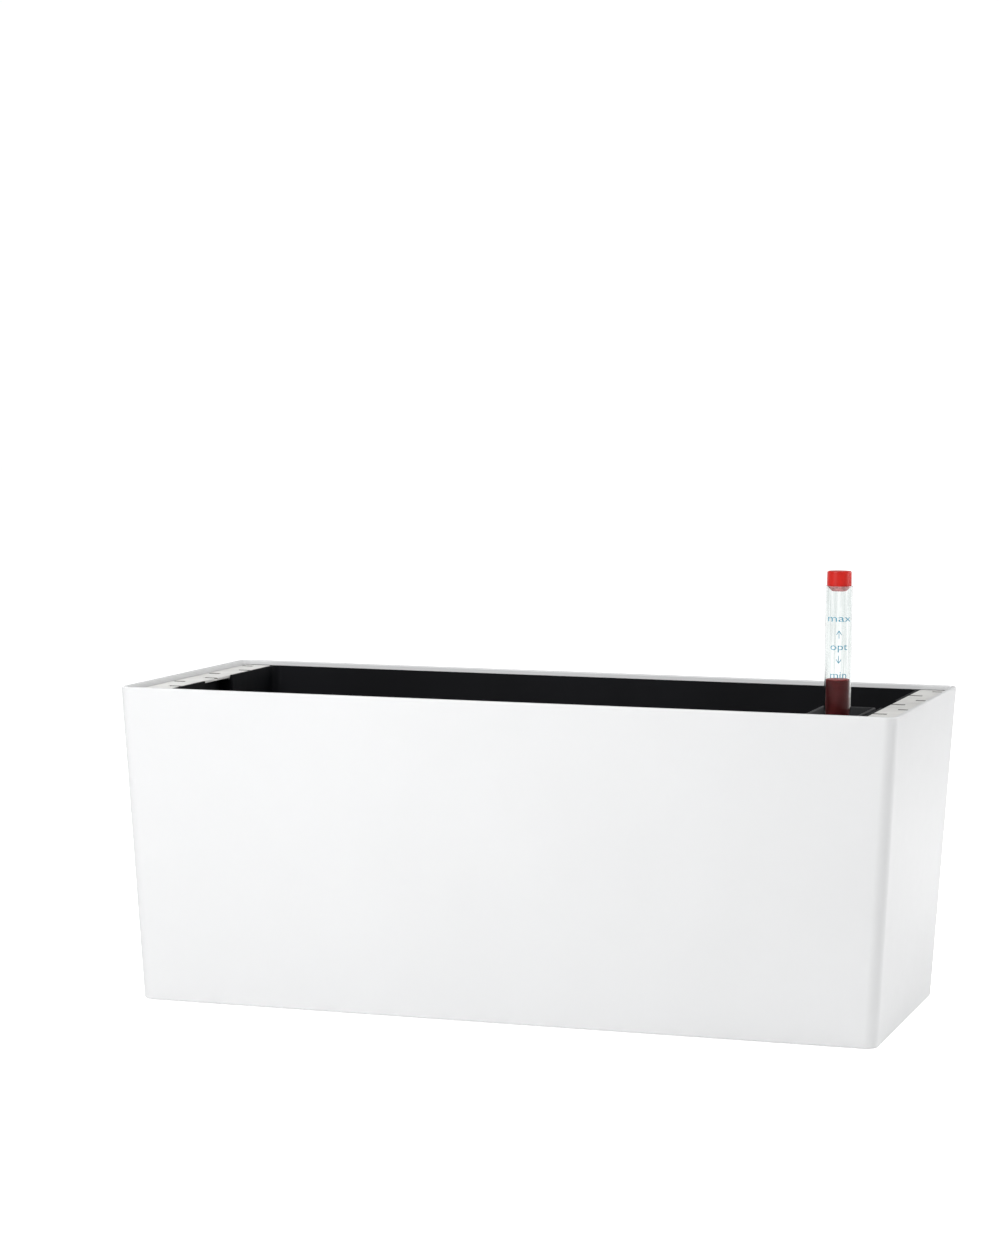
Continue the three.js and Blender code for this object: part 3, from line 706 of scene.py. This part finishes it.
def shell_plug():
    """A plug with a flat head and a coin slot underneath, and the washer under the pot's floor."""
    low, high = frame_box("shell_drain_plug")
    washer_low, washer_high = frame_box("shell_drain_washer")
    stem_r = DRAIN_R - DRAIN_PLAY
    recess_r = stem_r - PLUG_TOP_RIM
    recess_z = high.z - PLUG_TOP_DEPTH
    head_top = washer_low.z - PLUG_HEAD_GAP
    outline = [(0, low.z), (high.x, low.z), (high.x, head_top), (stem_r, head_top), (stem_r, high.z)]
    outline += [(recess_r, high.z), (recess_r, recess_z), (0, recess_z)]
    plug = turned("shell_plug_head", outline, edge=0.35)
    slot_length, slot_width, slot_depth = COIN_SLOT
    slot_z = (low.z - CUT_PAST, low.z + slot_depth)
    combine(plug, [block(around(0, slot_length / 2), around(0, slot_width / 2), slot_z)])
    place(plug, "shell_plug", BLACK, ["shell_drain_plug"])
    outline = [(DRAIN_R, washer_low.z), (washer_high.x, washer_low.z)]
    outline += [(washer_high.x, washer_high.z), (DRAIN_R, washer_high.z)]
    washer = turned("shell_plug_washer", outline, edge=0.3)
    place(washer, "shell_plug", RUBBER, ["shell_drain_washer"])


# ------------------------------------------------------------------ liner
def tub_ring(offset, z, radius):
    """A ring of the tub's wall, offset outwards from its inside face."""
    drop = LINER_HIGH.z - z
    half_length = TUB_HALF[0] - END_TAPER * drop + offset
    half_depth = TUB_HALF[1] - TAPER * drop + offset
    return rect_ring(half_length, half_depth, radius, z)


def tub_solid(name, wall, corner_r, base_z, top_z):
    """A solid tub with a rounded edge round its floor, its sides leaning as the liner's do."""
    steps = 4
    rings = []
    for step in range(steps + 1):
        angle = step / steps * math.pi / 2
        inset = TUB_FLOOR_R * (1 - math.sin(angle))
        rings.append(tub_ring(wall - inset, base_z + TUB_FLOOR_R * (1 - math.cos(angle)), corner_r - inset))
    rings.append(tub_ring(wall, top_z, corner_r))
    return lofted(name, rings)


def leg_columns(margin, z_range):
    """An upright block round each place where a handle's leg goes."""
    columns = []
    for side in (1, -1):
        for end in (1, -1):
            x_range = around(side * LEG_X, LEG_SIZE[0] / 2 + margin)
            columns.append(block(x_range, around(end * LEG_Y, LEG_SIZE[1] / 2 + margin), z_range))
    return columns


def liner_additions():
    """What stands out from the tub: the flange, the guides for the legs and the finger pockets."""
    rings = []
    for z in (LEDGE_Z - LEDGE_T, LINER_HIGH.z):
        lean = TAPER * (LINER_HIGH.z - z)
        rings.append(rect_ring(LINER_HIGH.x - lean, LINER_HIGH.y - lean, FLANGE_CORNER_R, z))
    in_ledge = LEDGE_Z - LEDGE_T / 2
    added = [lofted("flange", rings)]
    added += leg_columns(LEG_PLAY + GUIDE_WALL, (GUIDE_Z, in_ledge))
    pocket_y = around(0, FINGER_HALF_WIDTH + FINGER_WALL)
    pocket_z = (LEDGE_Z - FINGER_DEPTH - FINGER_WALL, in_ledge)
    for side in (1, -1):
        pocket_x = on_side(side, (TUB_HALF[0] + JOIN_DEPTH, FINGER_REACH_X + FINGER_WALL))
        added.append(block(pocket_x, pocket_y, pocket_z))
    return added


def liner_openings():
    """What is cut out of the tub: its inside, the leg slots, the recesses for bars and fingers, the drain."""
    above = LINER_HIGH.z + CUT_PAST
    removed = [tub_solid("inside", 0, SHELL_CORNER_R - LINER_WALL, TUB_FLOOR_Z, above)]
    removed += leg_columns(LEG_PLAY, (GUIDE_Z - CUT_PAST, LEDGE_Z + CUT_PAST))
    for side in (1, -1):
        recess_x = on_side(side, (BAR_LOW.x - BAR_PLAY, SHELL_HIGH.x))
        removed.append(block(recess_x, around(0, BAR_HIGH.y + BAR_PLAY), (LEDGE_Z, above)))
        gap_x = on_side(side, (TUB_HALF[0] - SHELL_CORNER_R, FINGER_REACH_X))
        removed.append(block(gap_x, around(0, FINGER_HALF_WIDTH), (LEDGE_Z - FINGER_DEPTH, above)))
    drain_z = (LINER_LOW.z - CUT_PAST, TUB_FLOOR_Z + CUT_PAST)
    removed.append(rod(LINER_DRAIN_R, drain_z, *LINER_PLUG_AXIS))
    return removed


def liner():
    """The lift-out tub: a leaning wall, a flange with a recess for each handle, guides for the legs,
    finger pockets, posts for the separator and a drain hole."""
    tub = tub_solid("liner_tub", LINER_WALL, SHELL_CORNER_R, LINER_LOW.z, LINER_HIGH.z)
    combine(tub, liner_additions(), "UNION")
    combine(tub, liner_openings())
    post_z = (TUB_FLOOR_Z - JOIN_DEPTH, PLATE_LOW.z - POST_GAP)
    combine(tub, [rod(POST_R, post_z, x, y) for x in POSTS_X for y in (-POST_Y, POST_Y)], "UNION")
    place(round_edges(tub, 0.4), "liner", BLACK, ["inner_liner"])


def liner_plug():
    """A stopper with a flat head and a waisted knob to pull it by."""
    head_z = TUB_FLOOR_Z + LINER_PLUG_GAP
    head_top = head_z + LINER_PLUG_HEAD_T
    head_r = (LINER_PLUG_HIGH.x - LINER_PLUG_LOW.x) / 2
    knob_r = KNOB_WAIST[-1][0]
    outline = [(0, LINER_PLUG_LOW.z), (LINER_PLUG_R, LINER_PLUG_LOW.z), (LINER_PLUG_R, head_z)]
    outline += [(head_r, head_z), (head_r, head_top)]
    outline += [(radius, head_top + height) for radius, height in KNOB_WAIST]
    outline += [(knob_r, LINER_PLUG_HIGH.z), (0, LINER_PLUG_HIGH.z)]
    plug = turned("liner_plug_knob", outline, LINER_PLUG_AXIS, edge=0.7)
    place(plug, "liner_plug", RUBBER, ["liner_drain_plug"])


# ------------------------------------------------------------------ handles
def groove_places():
    return [(i - (GROOVE_COUNT - 1) / 2) * GROOVE_PITCH for i in range(GROOVE_COUNT)]


def is_groove_wall(middle, normal):
    """Whether a face of a bar is one of the two upright walls of a groove, which are painted dark as shade.
    """
    width, depth = GROOVE_SIZE
    near = any(abs(middle.y - y) < width / 2 + FACE_MARGIN for y in groove_places())
    inside = BAR_HIGH.z - depth - FACE_MARGIN < middle.z < BAR_HIGH.z - FACE_MARGIN
    return near and inside and abs(normal.y) > WALL_NORMAL


def legs(side):
    """Two legs under a bar, each with a barb at its foot."""
    made = []
    for end in (1, -1):
        width = around(end * LEG_Y, LEG_SIZE[1] / 2)
        leg_x = around(side * LEG_X, LEG_SIZE[0] / 2)
        barb_x = around(side * LEG_X, BARB_SIZE[0] / 2)
        made.append(block(leg_x, width, (BAR_LOW.z, BAR_BOTTOM_Z + JOIN_DEPTH)))
        made.append(block(barb_x, width, (BAR_LOW.z, BAR_LOW.z + BARB_SIZE[1])))
    return made


def bar_cuts(side):
    """The grooves, by turns in the bar's outer and inner half, and the shallow grip under its inner edge."""
    width, depth = GROOVE_SIZE
    groove_z = (BAR_HIGH.z - depth, BAR_HIGH.z + CUT_PAST)
    outer_half = (BAR_MIDDLE_X + GROOVE_FROM_MIDDLE, BAR_HIGH.x + CUT_PAST)
    inner_half = (BAR_LOW.x - CUT_PAST, BAR_MIDDLE_X - GROOVE_FROM_MIDDLE)
    removed = []
    for i, y in enumerate(groove_places()):
        half = inner_half if i % 2 else outer_half
        removed.append(block(on_side(side, half), around(y, width / 2), groove_z))
    grip_x = on_side(side, (BAR_LOW.x - CUT_PAST, GRIP_REACH_X))
    grip_z = (BAR_BOTTOM_Z - CUT_PAST, BAR_BOTTOM_Z + GRIP_RISE)
    removed.append(block(grip_x, around(0, FINGER_HALF_WIDTH), grip_z))
    return removed


def handles():
    """A flat grooved bar at each end, with two legs that end in barbs."""
    for side, name in ((1, "right"), (-1, "left")):
        body = name + "_handle"
        outline = rect_outline((BAR_HIGH.x - BAR_LOW.x) / 2, BAR_HIGH.y, BAR_CORNER_R, steps=5)
        outline = moved(outline, (side * BAR_MIDDLE_X, 0))
        bar = slab(body + "_bar", outline, [], (BAR_BOTTOM_Z, BAR_HIGH.z), edge=0.7)
        combine(bar, legs(side), "UNION")
        combine(bar, bar_cuts(side))
        place(round_edges(bar, 0.25), body, GREY, [name + "_lift_handle"])
        # The groove walls get the dark grey: painted shade in the grooves.
        give_faces(bar, GROOVE_PAINTED_SHADE, is_groove_wall)


# ------------------------------------------------------------------ separator, shaft and baskets
def stadium(x, y, length, width, steps=6):
    """A slot with round ends, along X."""
    radius = width / 2
    outline = []
    for side, start in ((1, -math.pi / 2), (-1, math.pi / 2)):
        for step in range(steps + 1):
            angle = start + step / steps * math.pi
            outline.append((
                x + side * (length / 2 - radius) + radius * math.cos(angle),
                y + radius * math.sin(angle),
            ))
    return outline


def slot_is_clear(x, y):
    """Whether a slot there stays off the baskets, the posts, the shaft and the tray's rim."""
    half_slot = SLOT_SIZE[0] / 2 + SLOT_MARGIN
    near_basket = any(math.hypot(x - basket_x, y) < BASKET_FLANGE_R + half_slot for basket_x in BASKET_X)
    in_post_row = abs(abs(y) - POST_Y) < POST_R + SLOT_MARGIN
    near_post = in_post_row and any(abs(x - post_x) < POST_R + half_slot for post_x in POSTS_X)
    near_shaft = x > SHAFT_LOW.x - half_slot and y < SHAFT_HIGH.y + SLOT_MARGIN
    near_rim = abs(x) > PLATE_HIGH.x - PLATE_RIM_T - half_slot
    return not (near_basket or near_post or near_shaft or near_rim)


def circle(x, y, radius, segments=64):
    angles = [2 * math.pi * i / segments for i in range(segments)]
    return [(x + radius * math.cos(a), y + radius * math.sin(a)) for a in angles]


def shaft_outline(inset, radius, steps=3):
    """The shaft's outline, drawn in by the inset."""
    return moved(rect_outline(SHAFT_HALF[0] - inset, SHAFT_HALF[1] - inset, radius, steps), SHAFT_AXIS)


def separator():
    """The perforated tray over the reservoir, with a low rim and openings for baskets and shaft."""
    columns = math.ceil(PLATE_HIGH.x / SLOT_PITCH[0])
    holes = [circle(x, 0, BASKET_TOP_R + BASKET_HOLE_PLAY) for x in BASKET_X]
    holes.append(shaft_outline(SHAFT_WALL, SHAFT_OPENING_R))
    for row in range(-SLOT_ROWS, SLOT_ROWS + 1):
        for column in range(-columns, columns + 1):
            x = (column + (row % 2) / 2) * SLOT_PITCH[0]
            y = row * SLOT_PITCH[1]
            if slot_is_clear(x, y):
                holes.append(stadium(x, y, *SLOT_SIZE))
    outline = rect_outline(PLATE_HIGH.x, PLATE_HIGH.y, PLATE_CORNER_R)
    plate = slab("separator_tray", outline, holes, (PLATE_LOW.z, PLATE_LOW.z + PLATE_T), edge=0.35)
    inner = rect_outline(PLATE_HIGH.x - PLATE_RIM_T, PLATE_HIGH.y - PLATE_RIM_T, PLATE_CORNER_R - PLATE_RIM_T)
    rim = slab("rim", outline, [inner], (PLATE_LOW.z + PLATE_RIM_LIFT, PLATE_HIGH.z), edge=0.35)
    combine(plate, [rim], "UNION")
    place(plate, "separator", INNER_BLACK, ["separator_plate"])


def filler_shaft():
    """A rectangular tube with a divider: the gauge goes down one side and water down the other."""
    outline = shaft_outline(0, SHAFT_CORNER_R, steps=5)
    inner = shaft_outline(SHAFT_WALL, SHAFT_INNER_R)
    shaft = slab("filler_shaft_tube", outline, [inner], (SHAFT_LOW.z, SHAFT_HIGH.z), edge=0.5)
    divider_x = (SHAFT_LOW.x + DIVIDER_INSET, SHAFT_HIGH.x - DIVIDER_INSET)
    divider = block(divider_x, DIVIDER_Y, (SHAFT_LOW.z, DIVIDER_TOP_Z))
    combine(shaft, [round_edges(divider, 0.5)], "UNION")
    place(shaft, "separator", INNER_BLACK, ["filler_shaft"])


def baskets():
    """Slotted conical cups that hang in the tray."""
    for name in ("left", "centre", "right"):
        node = "wick_basket_" + name
        low, high = frame_box(node)
        axis = middle_of(low, high)
        flange_z = high.z - BASKET_FLANGE_T
        outline = [(0, low.z), (BASKET_FOOT_R, low.z), (BASKET_TOP_R, flange_z), (BASKET_FLANGE_R, flange_z)]
        outline += [(BASKET_FLANGE_R, high.z), (BASKET_TOP_R - BASKET_WALL, high.z)]
        outline += [(BASKET_FOOT_R - BASKET_WALL, low.z + BASKET_WALL), (0, low.z + BASKET_WALL)]
        cup = turned(node + "_cup", outline, axis, edge=0.5)
        combine(cup, cutters_round(BASKET_SLOTS, BASKET_SLOT_REACH, BASKET_SLOT_WIDTH, BASKET_SLOT_Z, axis))
        place(cup, "basket_" + name, INNER_BLACK, [node])


# ------------------------------------------------------------------ gauge
def gauge_chamber():
    """The slotted housing that the float's bulb runs in, with a socket for the tube on top."""
    radius = (CHAMBER_HIGH.x - CHAMBER_LOW.x) / 2
    foot, top = CHAMBER_LOW.z, CHAMBER_HIGH.z
    shoulder = top - CHAMBER_NECK_HEIGHT
    stop = shoulder + CHAMBER_SHOULDER_T
    socket = TUBE_R + SOCKET_PLAY
    neck = socket + CHAMBER_WALL
    inside = radius - CHAMBER_WALL
    floor_top = foot + CHAMBER_FLOOR_T
    outline = [(0, foot), (radius, foot), (radius, stop), (neck, stop + CHAMBER_SHOULDER_T), (neck, top)]
    outline += [(socket, top), (socket, stop), (TUBE_BORE_R, stop), (TUBE_BORE_R, shoulder)]
    outline += [(inside, shoulder), (inside, floor_top), (0, floor_top)]
    chamber = turned("gauge_float_chamber", outline, GAUGE_AXIS, edge=0.4)
    slot_foot = foot + CHAMBER_SLOT_LIFT
    slot_z = (slot_foot, slot_foot + CHAMBER_SLOT_HEIGHT)
    reach = (radius - CHAMBER_SLOT_WIDTH, radius + CHAMBER_SLOT_WIDTH)
    combine(chamber, cutters_round(CHAMBER_SLOTS, reach, CHAMBER_SLOT_WIDTH, slot_z, GAUGE_AXIS))
    place(chamber, "gauge", INNER_BLACK, ["gauge_chamber"])


def gauge_tube():
    low, high = TUBE_LOW.z, TUBE_HIGH.z
    outline = [(TUBE_BORE_R, low), (TUBE_R, low), (TUBE_R, high), (TUBE_BORE_R, high)]
    tube = turned("gauge_clear_tube", outline, GAUGE_AXIS, edge=0.2)
    place(tube, "gauge", CLEAR, ["gauge_tube"])


def gauge_cap():
    """A round cap, with a tapered spigot that shows through the tube, painted paler than the cap as light
    coming through it.
    """
    head_z = TUBE_HIGH.z + CAP_GAP
    neck_z = head_z - CAP_SPIGOT_NECK
    radius = (CAP_HIGH.x - CAP_LOW.x) / 2
    foot_r, neck_r = CAP_SPIGOT_R
    outline = [(0, CAP_LOW.z), (foot_r, CAP_LOW.z), (neck_r, neck_z), (neck_r, head_z), (radius, head_z)]
    outline += [(radius - CAP_DRAFT, CAP_HIGH.z), (0, CAP_HIGH.z)]
    cap = turned("gauge_red_cap", outline, GAUGE_AXIS, edge=0.7)
    place(cap, "cap", RED, ["gauge_cap"])
    # The spigot's faces get the paler red: painted light.
    give_faces(cap, SPIGOT_PAINTED_LIGHT, lambda middle, normal: middle.z < TUBE_HIGH.z)


def float_column():
    """The indicator in the tube, its tip painted a lighter red as light from above."""
    radius = (COLUMN_HIGH.x - COLUMN_LOW.x) / 2
    bore = radius - COLUMN_WALL
    low, high = COLUMN_LOW.z, COLUMN_HIGH.z
    bore_top = high - COLUMN_TOP_T
    outline = [(bore, low), (radius, low), (radius, high), (0, high), (0, bore_top), (bore, bore_top)]
    column = turned("float_indicator_column", outline, GAUGE_AXIS, edge=0.4)
    place(column, "float", MAROON, ["float_column"])
    # The top faces get the lighter red: painted light from above.
    give_faces(column, MAROON_PAINTED_TOP_LIGHT, lambda middle, normal: middle.z > high - COLUMN_PAINTED_LIGHT_HEIGHT)


def float_bulb():
    """The foam body under the column, with a spigot in the column's bore."""
    radius = (BULB_HIGH.x - BULB_LOW.x) / 2
    shoulder = COLUMN_LOW.z - BULB_GAP
    spigot = (COLUMN_HIGH.x - COLUMN_LOW.x) / 2 - COLUMN_WALL - BULB_PLAY
    outline = [(0, BULB_LOW.z), (radius, BULB_LOW.z), (radius, shoulder), (spigot, shoulder)]
    outline += [(spigot, BULB_HIGH.z), (0, BULB_HIGH.z)]
    bulb = turned("float_foam_bulb", outline, GAUGE_AXIS, edge=1.4)
    place(bulb, "float", FOAM, ["float_bulb"])


def on_tube(x, z):
    """A point of the flat scale drawing, wrapped round the tube's front."""
    radius = TUBE_R + INK_LIFT
    angle = (x + SCALE_TURN) / radius
    sideways = GAUGE_AXIS[0] + radius * math.sin(angle)
    return Vector((sideways, GAUGE_AXIS[1] - radius * math.cos(angle), z)) * MM


def word_mesh(word, size):
    """A word as a flat mesh, finely divided so that it can be bent."""
    curve = bpy.data.curves.new("word", "FONT")
    curve.body = word
    curve.size = size
    curve.align_x = "CENTER"
    curve.align_y = "CENTER"
    flat = mesh_of(linked("word", curve))
    shape = bmesh.new()
    shape.from_mesh(flat)
    for _ in range(3):
        long_edges = [e for e in shape.edges if e.calc_length() > LETTER_STEP]
        bmesh.ops.subdivide_edges(shape, edges=long_edges, cuts=1)
        bmesh.ops.triangulate(shape, faces=shape.faces)
    shape.to_mesh(flat)
    shape.free()
    return flat


def add_stroke(shape, start, end):
    """A straight printed stroke between two points of the flat drawing."""
    steps = 6
    start = Vector(start)
    end = Vector(end)
    across = (end - start).orthogonal().normalized() * STROKE_WIDTH / 2
    rows = []
    for step in range(steps + 1):
        middle = start.lerp(end, step / steps)
        rows.append([shape.verts.new((*(middle + across), 0)), shape.verts.new((*(middle - across), 0))])
    for (a, b), (c, d) in zip(rows, rows[1:]):
        shape.faces.new((a, b, d, c))


def add_arrow(shape, z, way):
    """An arrow on the drawing's middle line, pointing up where way is 1 and down where it is -1."""
    half_width, half_height = ARROW_HALF_SIZE
    tip = (0, z + way * half_height)
    for corner in ((-half_width, z), (half_width, z)):
        add_stroke(shape, corner, tip)
    add_stroke(shape, tip, (0, z - way * half_height))


def level_scale():
    """Three named levels with an arrow from the middle one to each other, printed on the clear tube."""
    lowest = COLUMN_HIGH.z + SCALE_LIFT
    middle = lowest + FLOAT_TRAVEL / 2
    shape = bmesh.new()
    for word, z in (("min", lowest), ("opt", middle), ("max", lowest + FLOAT_TRAVEL)):
        before = set(shape.verts)
        shape.from_mesh(word_mesh(word, LETTER_SIZE))
        letters = [v for v in shape.verts if v not in before]
        bmesh.ops.scale(shape, verts=letters, vec=(LETTER_STRETCH[word], 1, 1))
        bmesh.ops.translate(shape, verts=letters, vec=(0, z, 0))
    for way in (1, -1):
        add_arrow(shape, middle + way * ARROW_OFFSET, way)
    for vertex in shape.verts:
        vertex.co = on_tube(vertex.co.x, vertex.co.y)
    mesh = bpy.data.meshes.new("gauge_level_scale")
    shape.to_mesh(mesh)
    shape.free()
    place(linked("gauge_level_scale", mesh), "gauge", INK)


# ------------------------------------------------------------------ studio
def floor():
    half = FLOOR_HALF_SIZE
    corners = [(-half, -half, 0), (half, -half, 0), (half, half, 0), (-half, half, 0)]
    paper = linked("studio_floor", bpy.data.meshes.new("studio_floor"))
    paper.data.from_pydata(corners, [], [(0, 1, 2, 3)])
    paper.data.materials.append(studio_floor())


def backdrop():
    """An even surround that lights the object softly and is white in the picture."""
    world = bpy.data.worlds.new("studio_world")
    world.use_nodes = True
    tree = world.node_tree
    background = tree.nodes["Background"]
    background.inputs["Color"].default_value = (1, 1, 1, 1)
    tree.links.new(shade_when_seen(tree, SURROUND_SHADE, BACKDROP_SHADE), background.inputs["Strength"])
    bpy.context.scene.world = world


def lights():
    """Soft boxes, each given by its place, the point it faces, its size and its power."""
    for name, (place_at, target, size, power) in LIGHTS.items():
        data = bpy.data.lights.new(name, "AREA")
        data.shape = "RECTANGLE"
        data.size, data.size_y = size
        data.energy = power
        light = linked(name, data)
        light.location = place_at
        light.rotation_euler = (Vector(target) - Vector(place_at)).to_track_quat("-Z", "Y").to_euler()


def camera():
    """A camera at CAMERA_PLACE, turned to the left, tilted down and rolled by the three angles."""
    forward = Vector((
        -math.sin(CAMERA_YAW) * math.cos(CAMERA_PITCH),
        math.cos(CAMERA_YAW) * math.cos(CAMERA_PITCH),
        -math.sin(CAMERA_PITCH),
    ))
    right = forward.cross(Vector((0, 0, 1))).normalized()
    up = right.cross(forward)
    turned_right = math.cos(CAMERA_ROLL) * right + math.sin(CAMERA_ROLL) * up
    turned_up = math.cos(CAMERA_ROLL) * up - math.sin(CAMERA_ROLL) * right
    made = linked("camera", bpy.data.cameras.new("camera"))
    made.data.lens = CAMERA_LENS
    turn = Matrix((turned_right, turned_up, -forward)).transposed()
    made.matrix_world = Matrix.Translation(CAMERA_PLACE) @ turn.to_4x4()
    bpy.context.scene.camera = made
    bpy.context.scene.view_settings.view_transform = "Standard"


camera()
floor()
backdrop()
lights()
cover_pot()
base_ribs()
foot_pads()
shell_plug()
liner()
liner_plug()
handles()
separator()
filler_shaft()
baskets()
gauge_chamber()
gauge_tube()
gauge_cap()
float_column()
float_bulb()
level_scale()
